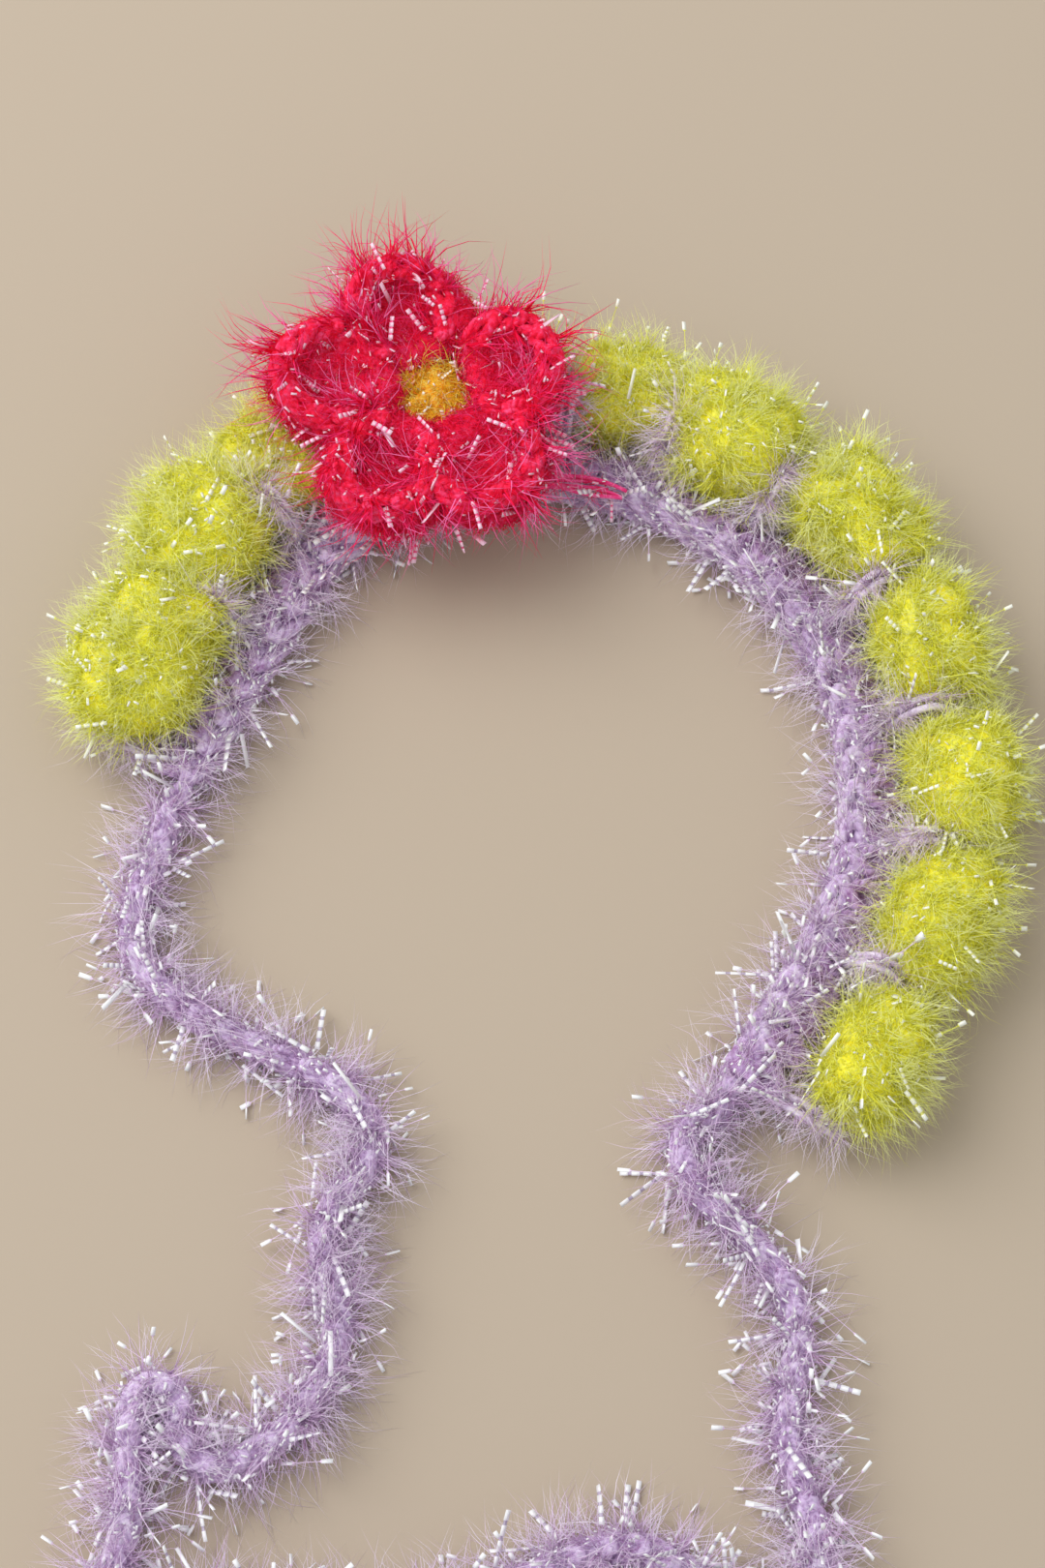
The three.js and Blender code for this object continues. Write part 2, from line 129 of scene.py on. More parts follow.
RIGHT_TIE_POINTS = [
    [19.4, -39.4], [18.2, -43.4], [20, -47.6], [23.4, -50.8], [26.6, -54.4], [29.2, -58.6],
    [30.2, -63.6], [29.4, -69], [28.8, -74], [29.8, -79], [31.2, -83.6], [31.6, -88.4],
    [29.2, -93], [24.6, -94], [20.6, -91.6], [16.8, -88], [12, -86], [7, -86.8],
    [2.2, -88.8], [-2.4, -91], [-7.4, -92.6], [-12.8, -93.4], [-18.4, -94], [-24, -94], [-29.6, -93.4],
]
UP = np.array([0.0, 0.0, 1.0])


class Socket:
    """An output of one of a material's nodes. Arithmetic on it adds Math nodes to that material."""

    def __init__(self, tree, output=None):
        self.tree = tree
        self.output = output

    def node(self, kind, settings=None, inputs=None, out=0):
        """Adds a node, with its settings and its ramp's stops first, and then its sockets."""
        made = self.tree.nodes.new(kind)
        for name, value in (settings or {}).items():
            if name == "stops":
                for extra in value[2:]:
                    made.color_ramp.elements.new(extra[0])
                for stop, (place, colour) in zip(made.color_ramp.elements, value):
                    stop.position = place
                    stop.color = (*colour, 1)
            else:
                setattr(made, name, value)
        for name, value in (inputs or {}).items():
            if isinstance(value, Socket):
                self.tree.links.new(value.output, made.inputs[name])
            else:
                made.inputs[name].default_value = value
        return Socket(self.tree, made.outputs[out] if made.outputs else None)

    def maths(self, operation, first, second):
        return self.node("ShaderNodeMath", {"operation": operation}, {0: first, 1: second})

    def __add__(self, other):
        return self.maths("ADD", self, other)

    def __sub__(self, other):
        return self.maths("SUBTRACT", self, other)

    def __rsub__(self, other):
        return self.maths("SUBTRACT", other, self)

    def __mul__(self, other):
        return self.maths("MULTIPLY", self, other)

    __radd__ = __add__
    __rmul__ = __mul__


STRAND_GRAIN = 1300
STRAND_SHARE = 0.7
CLOUD_RATIO = 7
SHADE_STOPS = (0.34, 0.5, 0.68)
YARN_ROUGHNESS = 1.05
STRAND_GLOSS = 0.5


def spun_yarn(name, shadow, body, light, grain=STRAND_GRAIN):
    """Soft spun yarn: painted shade darkens it between its strands and painted highlights pale it
    on them, with a fine fuzzy grain.
    """
    material = bpy.data.materials.new(name)
    material.use_nodes = True
    material.node_tree.nodes.clear()
    start = Socket(material.node_tree)
    place = start.node("ShaderNodeTexCoord", out="Object")
    strand_noise = {"Vector": place, "Scale": grain, "Detail": 5, "Roughness": 0.65}
    cloud_noise = {"Vector": place, "Scale": grain / CLOUD_RATIO, "Detail": 2}
    strand = start.node("ShaderNodeTexNoise", None, strand_noise)
    cloud = start.node("ShaderNodeTexNoise", None, cloud_noise)
    tone = strand * STRAND_SHARE + cloud * (1 - STRAND_SHARE)
    stops = list(zip(SHADE_STOPS, (shadow, body, light)))
    colour = start.node("ShaderNodeValToRGB", {"stops": stops}, {"Fac": tone})
    bump = start.node("ShaderNodeBump", None, {"Strength": 0.6, "Distance": 0.0004, "Height": strand})
    surface = start.node(
        "ShaderNodeBsdfPrincipled",
        None,
        {
            "Base Color": colour,
            "Roughness": YARN_ROUGHNESS - strand * STRAND_GLOSS,
            "Normal": bump,
            "Specular IOR Level": 0.3,
            "Sheen Weight": 0.35,
            "Sheen Roughness": 0.45,
            "Sheen Tint": (*light, 1),
        },
    )
    start.node("ShaderNodeOutputMaterial", None, {"Surface": surface})
    return material


def one_tone(name, colour, roughness, specular=0.4):
    """A plain material: one tone of a dyed fibre, of tinsel film painted glinting or in painted
    shade, or the table's paint.
    """
    material = bpy.data.materials.new(name)
    material.use_nodes = True
    shader = material.node_tree.nodes["Principled BSDF"]
    shader.inputs["Base Color"].default_value = (*colour, 1)
    shader.inputs["Roughness"].default_value = roughness
    shader.inputs["Specular IOR Level"].default_value = specular
    return material


def yarn_fibres(yarn, tones, painted_glint, painted_shade):
    """A yarn's pile: its fibres in four tones from deep to pale, and its tinsel film painted
    glinting and in painted shade.
    """
    names = [f"{yarn}_fibre_{i + 1}" for i in range(len(tones))]
    fibres = [one_tone(*fibre, roughness=0.5, specular=0.15) for fibre in zip(names, tones)]
    return fibres + [
        one_tone(f"{yarn}_tinsel_bright", painted_glint, roughness=0.25, specular=0.9),
        one_tone(f"{yarn}_tinsel_dim", painted_shade, roughness=0.3, specular=0.8),
    ]


def unit(ways):
    return ways / np.maximum(np.linalg.norm(ways, axis=-1, keepdims=True), 1e-9)


def make_piece(name, parts, materials):
    """Makes one object from parts: points, and lists of faces with their material's number."""
    points, corners, sizes, slots = [], [], [], []
    count = 0
    for part_points, face_sets in parts:
        points.append(part_points.reshape(-1, 3))
        for faces, slot in face_sets:
            corners.append((faces + count).ravel())
            sizes.append(np.full(len(faces), faces.shape[1]))
            slots.append(np.broadcast_to(slot, len(faces)))
        count += len(points[-1])
    points, corners, sizes, slots = (np.concatenate(x) for x in (points, corners, sizes, slots))
    mesh = bpy.data.meshes.new(name)
    mesh.vertices.add(len(points))
    mesh.vertices.foreach_set("co", (points * MM).astype(np.float32).ravel())
    mesh.loops.add(len(corners))
    mesh.loops.foreach_set("vertex_index", corners.astype(np.int32))
    mesh.polygons.add(len(sizes))
    mesh.polygons.foreach_set("loop_start", np.concatenate([[0], np.cumsum(sizes)[:-1]]).astype(np.int32))
    mesh.polygons.foreach_set("material_index", slots.astype(np.int32))
    mesh.polygons.foreach_set("use_smooth", np.full(len(sizes), True))
    mesh.update(calc_edges=True)
    for material in materials:
        mesh.materials.append(material)
    piece = bpy.data.objects.new(name, mesh)
    bpy.context.scene.collection.objects.link(piece)
    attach(piece, "root")
    return piece


def strands(lines, radius, facing, closed, sides=8, slot=0):
    """Round strands of yarn along lines of shape (strands, points, 3)."""
    count, steps = lines.shape[:2]
    if closed:
        ahead = np.roll(lines, -1, 1) - np.roll(lines, 1, 1)
    else:
        ahead = np.gradient(lines, axis=1)
    ahead = unit(ahead)
    across = unit(np.cross(ahead, facing))
    over = np.cross(across, ahead)
    turn = np.arange(sides) * 2 * math.pi / sides
    ring = across[:, :, None] * np.cos(turn)[:, None] + over[:, :, None] * np.sin(turn)[:, None]
    points = lines[:, :, None] + ring * radius
    number = np.arange(count * steps * sides).reshape(count, steps, sides)
    here, later = (number, np.roll(number, -1, 1)) if closed else (number[:, :-1], number[:, 1:])
    quads = np.stack([here, later, np.roll(later, -1, 2), np.roll(here, -1, 2)], -1).reshape(-1, 4)
    face_sets = [(quads, slot)]
    if not closed:
        face_sets += [(number[:, 0], slot), (number[:, -1, ::-1], slot)]
    return points, face_sets


PLIES = 3
PLY_TURNS = 4
PLY_OFFSET = 0.5
PLY_RADIUS = 0.58
PLY_SIDES = 6


def plied_yarn(loops, radius, slot=0):
    """Plied yarn along closed loops: three plies that twist about each loop's line."""
    ahead = unit(np.roll(loops, -1, 1) - np.roll(loops, 1, 1))
    across = unit(np.cross(ahead, UP))
    over = np.cross(across, ahead)
    twist = np.linspace(0, 2 * math.pi * PLY_TURNS, loops.shape[1], endpoint=False)[:, None]
    lines = []
    for ply in range(PLIES):
        angle = twist + ply * 2 * math.pi / PLIES
        lines.append(loops + (across * np.cos(angle) + over * np.sin(angle)) * radius * PLY_OFFSET)
    return strands(np.concatenate(lines), radius * PLY_RADIUS, UP, True, PLY_SIDES, slot)


def smooth_line(points, per_span=24):
    """A smooth line through the points: a centripetal spline, as a limp cord lies."""
    p = np.array([2 * points[0] - points[1], *points, 2 * points[-1] - points[-2]])
    gap = np.sqrt(np.linalg.norm(np.diff(p, axis=0), axis=1))
    line = []
    for i in range(1, len(p) - 2):
        t = np.concatenate([[0], np.cumsum(gap[i - 1 : i + 2])])
        s = np.linspace(t[1], t[2], per_span, endpoint=False)[:, None]
        a = [p[i - 1 + k] + (p[i + k] - p[i - 1 + k]) * (s - t[k]) / (t[k + 1] - t[k]) for k in range(3)]
        b = [a[k] + (a[k + 1] - a[k]) * (s - t[k]) / (t[k + 2] - t[k]) for k in range(2)]
        line.append(b[0] + (b[1] - b[0]) * (s - t[1]) / (t[2] - t[1]))
    return np.concatenate([*line, p[-2:-1]])


class Lie:
    """A line that a cord follows, read by the distance along it."""

    def __init__(self, line):
        self.line = line
        self.along = np.concatenate([[0], np.cumsum(np.linalg.norm(np.diff(line, axis=0), axis=1))])
        self.length = self.along[-1]
        self.ahead = unit(np.gradient(line, axis=0))

    def at(self, along):
        return np.stack([np.interp(along, self.along, self.line[:, i]) for i in range(3)], -1)

    def ways(self, along):
        """The directions ahead, to the side of and over the line."""
        ahead = unit(np.stack([np.interp(along, self.along, self.ahead[:, i]) for i in range(3)], -1))
        side = unit(np.cross(UP, ahead))
        return ahead, side, np.cross(ahead, side)


LOOP_STEPS = 36
LOOP_REACH = 1.75
LOOP_SPREAD = 1.15
LOOP_WIDTHS = (0.88, 1.12)
LOOP_RISE = 0.9
LOOP_UNEVENNESS = 0.08
CHAIN_END = 0.9
TABLE_GAP = 0.05


def chain_stitches(lie, pitch, width, height, radius, draw):
    """Crochet chain: a row of loops, each rising through the last and spread by the next."""
    count = round((lie.length - CHAIN_END * pitch) / pitch)
    turn = np.linspace(0, 2 * math.pi, LOOP_STEPS, endpoint=False)
    start = np.arange(count) * (lie.length - LOOP_REACH * pitch) / (count - 1)
    reach = (1 - np.cos(turn)) / 2
    uneven = draw.uniform(*LOOP_WIDTHS, (count, 1))
    along = start[:, None] + LOOP_REACH * pitch * reach
    aside = np.sin(turn) * ((1 + reach) / 2) * (width / 2 - radius) * LOOP_SPREAD * uneven
    rise = np.cos(turn) * (height / 2 - radius) * LOOP_RISE + draw.normal(0, LOOP_UNEVENNESS, (count, 1))
    ahead, side, over = lie.ways(along)
    loops = lie.at(along) + side * aside[..., None] + over * rise[..., None]
    loops[..., 2] = np.maximum(loops[..., 2], radius + TABLE_GAP)
    return plied_yarn(loops, radius)


HAIR_SIDES = 3
HAIR_BENDS = (0.3, 1)
HAIR_SHORTENING = 0.25
HAIR_WAVES = (2, 5)
HAIR_WAVE_DEPTH = 0.05
HAIR_SAG = 0.06
HAIR_TAPER = 0.7
HAIR_LOWEST = 0.06
PILE_TOP = 24.4


def pile(draw, roots, ways, length, width, curl, tone, rings, toward=None):
    """Fine fibres: closed tapering hairs that curl as they grow, with painted shade at the root, which
    is one tone deeper.
    """
    count = len(roots)
    length, wide = length[:, None, None], width[:, None, None, None]
    ways = unit(ways)
    curls = draw.normal(size=(count, 3)) if toward is None else toward
    across = unit(curls - ways * (curls * ways).sum(1, keepdims=True))
    over = np.cross(ways, across)
    step = (np.arange(rings + 1) / rings)[None, :, None]
    bend = draw.uniform(*HAIR_BENDS, (count, 1, 1)) * curl
    wave = np.sin(step * draw.uniform(*HAIR_WAVES, (count, 1, 1)))
    wave = wave * draw.normal(0, HAIR_WAVE_DEPTH, (count, 1, 1))
    line = ways[:, None] * step * (1 - HAIR_SHORTENING * bend * step) + across[:, None] * bend * step**2
    line = roots[:, None] + length * (line + over[:, None] * wave - UP * HAIR_SAG * step**2)
    line[..., 2] = np.clip(line[..., 2], HAIR_LOWEST, PILE_TOP)
    turn = np.arange(HAIR_SIDES) * 2 * math.pi / HAIR_SIDES
    ring = across[:, None, None] * np.cos(turn)[:, None] + over[:, None, None] * np.sin(turn)[:, None]
    taper = (1 - HAIR_TAPER * step[:, :rings])[..., None]
    tubes = line[:, :rings, None] + ring * wide / 2 * taper
    points = np.concatenate([tubes.reshape(count, rings * HAIR_SIDES, 3), line[:, rings:]], 1)
    number = np.arange(points.size // 3).reshape(points.shape[:2])
    tube, tip = number[:, :-1].reshape(count, rings, HAIR_SIDES), number[:, -1:]
    here, later = tube[:, :-1], tube[:, 1:]
    quads = np.stack([here, np.roll(here, -1, 2), np.roll(later, -1, 2), later], -1)
    last = tube[:, -1]
    tips = np.stack([last, np.roll(last, -1, 1), np.broadcast_to(tip, last.shape)], -1)
    # Painted shade at the root: the root cap and the hair's first stretch take the tone one deeper.
    tones = np.minimum(tone[:, None] - 1 + np.arange(rings - 1), tone[:, None])
    return points, [
        (tube[:, 0, ::-1], tone - 1),
        (quads.reshape(-1, 4), np.repeat(tones.ravel(), HAIR_SIDES)),
        (tips.reshape(-1, 3), np.repeat(tone, HAIR_SIDES)),
    ]


# The slot of tinsel film painted glinting; the slot after it holds the same film in painted shade.
GLINT_SLOT = 4
FILM_THICKNESS = 0.08
FILM_LOWEST = 0.45
FILM_TILT = 0.45
FILM_TWIST = 0.5
FILM_BOW = 0.08
FILM_EDGE = 0.05


def tinsel(draw, roots, ways, length, width, cut):
    """Strips of tinsel film, flat and almost straight. The cut says how many blocks of painted glint
    each has, how long they are, and how wide and in which material the film is between them: in
    painted shade, or in a fibre's tone."""
    blocks, fill, narrow, between = cut
    count = len(roots)
    ways = unit(ways)
    across = unit(np.cross(ways, UP + draw.normal(0, FILM_TILT, (count, 3))))[:, None]
    over = np.cross(across, ways[:, None])
    block = np.array([0, fill, fill + FILM_EDGE, 1 - FILM_EDGE])
    step = (np.arange(blocks)[:, None] + block).ravel()[: len(block) * blocks - 2]
    step = (step / step[-1])[None, :, None]
    place_in_block = np.arange(step.size) % len(block)
    broad = np.where(place_in_block < 2, 1, narrow) * width[:, None]
    twist = step * draw.normal(0, FILM_TWIST, (count, 1, 1))
    wide = (across * np.cos(twist) + over * np.sin(twist)) * broad[..., None] / 2
    thin = (over * np.cos(twist) - across * np.sin(twist)) * FILM_THICKNESS / 2
    bow = over * step**2 * draw.normal(0, FILM_BOW, (count, 1, 1))
    line = roots[:, None] + length[:, None, None] * (ways[:, None] * step + bow)
    line[..., 2] = np.clip(line[..., 2], FILM_LOWEST, PILE_TOP)
    points = np.stack([line + wide + thin, line - wide + thin, line - wide - thin, line + wide - thin], 2)
    number = np.arange(points.size // 3).reshape(points.shape[:3])
    here, later = number[:, :-1], number[:, 1:]
    quads = np.stack([here, np.roll(here, -1, 2), np.roll(later, -1, 2), later], -1)
    # Blocks and ends are painted glinting; the film between blocks takes the cut's material.
    slots = np.where(place_in_block[:-1] > 0, between, GLINT_SLOT)
    return points, [
        (quads.reshape(-1, 4), np.repeat(np.tile(slots, count), points.shape[2])),
        (number[:, 0, ::-1], GLINT_SLOT),
        (number[:, -1], GLINT_SLOT),
    ]


ROOT_DEPTH = 0.4
TUFT_SPREAD = 0.35


class CordSeat:
    """Where fibres root on a cord: all round it, in tufts that lean forward or back along it."""

    def __init__(self, lie, width):
        self.lie = lie
        self.width = width
        self.amount = lie.length

    def tufts(self, draw, count, tuft):
        """For each fibre its root, the way out of the cord, the tuft's lean and the tuft's mark."""
        groups = -(-count // tuft)
        shared = (
            draw.uniform(0, self.lie.length, groups),
            draw.uniform(0, 2 * math.pi, groups),
            draw.normal(0, 1, groups),
            draw.random(groups),
        )
        along, angle, lean, mark = (np.repeat(values, tuft)[:count] for values in shared)
        along = np.clip(along + draw.normal(0, TUFT_SPREAD, count), 0, self.lie.length)
        angle = angle + draw.normal(0, TUFT_SPREAD, count)
        ahead, side, over = self.lie.ways(along)
        out = side * np.cos(angle)[:, None] + over * np.sin(angle)[:, None]
        return self.lie.at(along) + out * self.width * ROOT_DEPTH, out, ahead * lean[:, None], mark


TUFT_TONE = 0.6
FELT_TUFT, FELT_RINGS, FELT_CURL = 4, 2, 0.5
FELT_STAND, FELT_LEAN, FELT_SCATTER = 0.3, 0.8, 0.3
FELT_LENGTHS, FELT_WIDTHS = (0.45, 1), (0.07, 0.13)
LASH_TUFT, LASH_RINGS = 12, 3
LASH_LEAN, LASH_SCATTER = 0.45, 0.22
LASH_LENGTHS, LASH_WIDTHS = (0.4, 1), (0.7, 1.3)
LASH_DEEP, LASH_PALE = 0.6, 1.4
# Cuts of tinsel: bands of painted glint with film in painted shade between; sparks of painted glint on a
# thread in a fibre's tone; and whole strips painted glinting all along.
FILM_BANDS = (4, 0.68, 0.7, GLINT_SLOT + 1)
FILM_SPARKS = (2, 0.28, 0.12, 2)
FILM_WHOLE = (1, 1, 1, GLINT_SLOT)
WHOLE_SHARE = 0.2
SPARK_REACH, SPARK_WIDTH = 0.8, 0.56
STRIP_RAISE = 0.4
STRIP_STANDS, STRIP_LEAN, STRIP_SCATTER = (0.1, 1.3), 0.6, 0.25
STRIP_LENGTHS, STRIP_WIDTHS = (0.45, 1), (0.6, 1)
GLINT_RAISES, GLINT_SCATTER = (0.1, 0.3), 0.4
GLINT_LENGTHS, GLINT_WIDTHS = (0.3, 0.9), (0.18, 0.32)


def fuzz(
    draw, seat, felt, nap, lashes, reach, strips, strip, sparks, glints, lash, deep, pale,
    curl=0.9, stand=1, comb=0,
):
    """A yarn's pile, in fibres for each millimetre of a cord or square millimetre of a puff.

    Felt as long as the nap lies along the yarn, and tufts of lashes reach out of it. Strips of
    tinsel, as long and wide as strip says, stand among them: most are banded in painted glint and
    painted shade, and some are painted glinting all along. So do strips of which only painted
    sparks show, while small glints, painted glinting all over, lie in the felt. Lashes and strips
    stand out of the yarn, or are combed one way along it. Deep and pale are the shares of the
    fibres in the yarn's deeper and paler tones.
    """

    def tone_of(mark, deep, pale):
        pick = TUFT_TONE * mark + (1 - TUFT_TONE) * draw.random(len(mark))
        return 1 + (pick > deep).astype(int) + (pick > 1 - pale)

    count = round(felt * seat.amount)
    roots, out, lean, mark = seat.tufts(draw, count, FELT_TUFT)
    ways = out * stand * FELT_STAND + lean * FELT_LEAN + draw.normal(0, FELT_SCATTER, (count, 3))
    length = draw.uniform(*FELT_LENGTHS, count) * nap
    width = draw.uniform(*FELT_WIDTHS, count)
    tone = tone_of(mark, deep, pale)
    parts = [pile(draw, roots, ways, length, width, FELT_CURL, tone, FELT_RINGS, -out)]

    count = round(lashes * seat.amount)
    roots, out, lean, mark = seat.tufts(draw, count, LASH_TUFT)
    ways = out * stand + comb + lean * LASH_LEAN + draw.normal(0, LASH_SCATTER, (count, 3))
    length = draw.uniform(*LASH_LENGTHS, count) * reach
    width = draw.uniform(*LASH_WIDTHS, count) * lash
    tone = tone_of(mark, deep * LASH_DEEP, pale * LASH_PALE)
    parts.append(pile(draw, roots, ways, length, width, curl, tone, LASH_RINGS))

    kinds = [
        (strips * (1 - WHOLE_SHARE), strip, FILM_BANDS),
        (strips * WHOLE_SHARE, strip, FILM_WHOLE),
        (sparks, (reach * SPARK_REACH, SPARK_WIDTH), FILM_SPARKS),
    ]
    for number, size, cut in kinds:
        count = round(number * seat.amount)
        roots, out, lean, mark = seat.tufts(draw, count, 1)
        roots = roots + out * nap * STRIP_RAISE
        ways = out * stand * draw.uniform(*STRIP_STANDS, (count, 1)) + comb + lean * STRIP_LEAN
        ways = ways + draw.normal(0, STRIP_SCATTER, (count, 3))
        length = draw.uniform(*STRIP_LENGTHS, count) * size[0]
        width = draw.uniform(*STRIP_WIDTHS, count) * size[1]
        parts.append(tinsel(draw, roots, ways, length, width, cut))

    count = round(glints * seat.amount)
    roots, out, lean, mark = seat.tufts(draw, count, 1)
    roots = roots + out * draw.uniform(*GLINT_RAISES, (count, 1)) * nap
    ways = lean + draw.normal(0, GLINT_SCATTER, (count, 3))
    length = draw.uniform(*GLINT_LENGTHS, count)
    width = draw.uniform(*GLINT_WIDTHS, count)
    parts.append(tinsel(draw, roots, ways, length, width, FILM_WHOLE))
    return parts


KNOT_YARN_RADIUS = 1.3
KNOT_HALF_LENGTH = 2.5
KNOT_RISE = 0.9
KNOT_STEPS = 60
KNOT_SIDES = 10
KNOT_FACING = np.array([0.3, 0.2, 1])


def overhand_knot(middle, ahead, size):
    """A small overhand knot: one strand that turns three times about itself, as a trefoil does.
    The curve below reaches 3 of its own units out from its middle."""
    turn = np.linspace(0, 2 * math.pi, KNOT_STEPS, endpoint=False)
    side = np.cross(UP, ahead)
    x = np.sin(turn) + 2 * np.sin(2 * turn)
    y = np.cos(turn) - 2 * np.cos(2 * turn)
    z = -np.sin(3 * turn)
    room = size / 2 - KNOT_YARN_RADIUS
    line = middle + (ahead * x[:, None] + side * y[:, None]) * (room / 3)
    line = line + UP * z[:, None] * room * KNOT_RISE
    return strands(line[None], KNOT_YARN_RADIUS, KNOT_FACING, True, KNOT_SIDES)


lilac_yarn = spun_yarn("lilac_yarn", (0.4, 0.2, 0.43), (0.73, 0.55, 0.82), (0.95, 0.88, 1.0))
lilac_fibres = yarn_fibres(
    "lilac",
    [(0.63, 0.35, 0.61), (0.81, 0.57, 0.84), (0.92, 0.73, 0.95), (0.98, 0.87, 1.0)],
    painted_glint=(1.0, 1.0, 1.0),
    painted_shade=(0.5, 0.42, 0.56),
)
TIE_PILE = dict(
    felt=46, nap=2.8, lashes=40, reach=8.8, strips=0.6, strip=(6.2, 0.64), sparks=1.3, glints=7,
    lash=0.105, deep=0.18, pale=0.38,
)
KNOT_PILE = dict(
    felt=90, nap=2.2, lashes=60, reach=8.5, strips=1, strip=(6.0, 0.6), sparks=2, glints=10,
    lash=0.08, deep=0.25, pale=0.4,
)

tie_draw = np.random.default_rng(11)
arch_ends = {"left": (0.0, -1), "right": (arch_length, 1)}
for tie_side, tie_points in (("left", LEFT_TIE_POINTS), ("right", RIGHT_TIE_POINTS)):
    end_along, end_sign = arch_ends[tie_side]
    tie_end = arch_at(end_along, 0, TIE_WIDTH / 2)
    tie_forward = arch_forward(end_along) * end_sign
    tie_leads = [tie_end + tie_forward * lead for lead in TIE_LEADS]
    tie_lie = [np.array([*(ARCH_MIDDLE + point), TIE_WIDTH / 2]) for point in np.array(tie_points)]
    lie = Lie(smooth_line(tie_leads + tie_lie))
    core_line = lie.at(np.linspace(0, lie.length, TIE_CORE_STEPS))
    core = strands(core_line[None], TIE_CORE_RADIUS, UP, False)
    loops = chain_stitches(lie, TIE_STITCH, TIE_YARN_WIDTH, TIE_WIDTH, YARN_RADIUS, tie_draw)
    tie = make_piece(f"{tie_side}_tie_chain", [core, loops], [lilac_yarn])
    tie_fuzz = fuzz(tie_draw, CordSeat(lie, TIE_YARN_WIDTH), **TIE_PILE)
    tie_pile = make_piece(f"{tie_side}_tie_pile", tie_fuzz, lilac_fibres)
    low, high = (np.array(corner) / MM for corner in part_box(f"{tie_side}_tie_knot"))
    knot_middle, knot_size = (low + high) / 2, (high - low).min()
    knot_yarn = overhand_knot(knot_middle, lie.ahead[-1], knot_size)
    knot = make_piece(f"{tie_side}_tie_knot_yarn", [knot_yarn], [lilac_yarn])
    knot_reach = lie.ahead[-1] * KNOT_HALF_LENGTH
    knot_lie = Lie(np.stack([knot_middle - knot_reach, knot_middle + knot_reach]))
    knot_fuzz = fuzz(tie_draw, CordSeat(knot_lie, knot_size), **KNOT_PILE)
    knot_pile = make_piece(f"{tie_side}_tie_knot_pile", knot_fuzz, lilac_fibres)
    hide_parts(f"{tie_side}_tie")
    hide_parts(f"{tie_side}_tie_knot")
    lie.line * MM

# The band.
# One length of lilac crochet: a raised chain along the inner edge, and a row of stitches worked
# into it whose posts lie outwards, flat on the table. The row, and the body under the band, take
# the lilac made deeper: painted shade beside the raised chain.
CHAIN_WIDTH = 4.3
CHAIN_HEIGHT = 5.2
CHAIN_YARN_RADIUS = 0.82
CHAIN_POINTS = 800
BAND_STITCH = 3.9
ROW_REACH = 5.4
ROW_HEIGHT = 4.4
ROW_YARN_RADIUS = 0.8
ROW_MIDDLE = 3.4
BODY_INSET = 0.8
BODY_HEIGHT = 0.82
POST_START = 1.2
POST_HALF_WIDTH = 1.7
POST_FOOT = 0.6
POST_SINK = 0.9
POST_DROP = 1.6
POST_END_GAP = 0.2
POST_SHIFT = 0.25
POST_UNEVENNESS = 0.15

# The chain's pile takes more of the palest tone and less of the deepest: painted highlight on the raised
# chain.
CHAIN_PILE = dict(
    felt=56, nap=1.8, lashes=22, reach=8.6, strips=0.5, strip=(6.6, 0.64), sparks=1.1, glints=9,
    lash=0.1, deep=0.1, pale=0.56,
)
# The row's pile takes more of the deepest tone: painted shade beside the chain.
ROW_PILE = dict(
    felt=20, nap=2.0, lashes=18, reach=6.8, strips=0.14, strip=(4.6, 0.55), sparks=0.45, glints=3,
    lash=0.09, deep=0.28, pale=0.42, curl=1.0,
)

# The row's yarn: the band's lilac made deeper, as painted shade beside the raised chain.
row_shaded_yarn = spun_yarn("lilac_row_shaded_yarn", (0.28, 0.11, 0.28), (0.56, 0.35, 0.62), (0.79, 0.64, 0.9))
band_draw = np.random.default_rng(23)


def solid_of(node, levels):
    """A CAD solid's points, in millimetres, and faces, rounded off by subdividing."""
    form = bmesh.new()
    form.from_mesh(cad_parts[node].data)
    bmesh.ops.remove_doubles(form, verts=form.verts, dist=1e-6)
    mesh = bpy.data.meshes.new("rounding")
    form.to_mesh(mesh)
    form.free()
    shape = bpy.data.objects.new("rounding", mesh)
    bpy.context.scene.collection.objects.link(shape)
    rounding = shape.modifiers.new("rounding", "SUBSURF")
    rounding.levels = levels
    finished = shape.evaluated_get(bpy.context.evaluated_depsgraph_get()).to_mesh()
    points = np.array([v.co for v in finished.vertices]) / MM
    normals = np.array([v.normal for v in finished.vertices])
    faces = np.array([p.vertices[:] for p in finished.polygons])
    bpy.data.objects.remove(shape)
    bpy.data.meshes.remove(mesh)
    return points, normals, faces


band_points, band_normals, band_faces = solid_of("band", 1)
band_points = band_points - band_normals * BODY_INSET
band_points[:, 2] = np.maximum(band_points[:, 2] * BODY_HEIGHT, 0)
band_body = (band_points, [(band_faces, 1)])
chain_along = np.linspace(0, arch_length, CHAIN_POINTS)
chain_lie = Lie(arch_at(chain_along, 0, CHAIN_HEIGHT / 2))
chain = chain_stitches(chain_lie, BAND_STITCH, CHAIN_WIDTH, CHAIN_HEIGHT, CHAIN_YARN_RADIUS, band_draw)

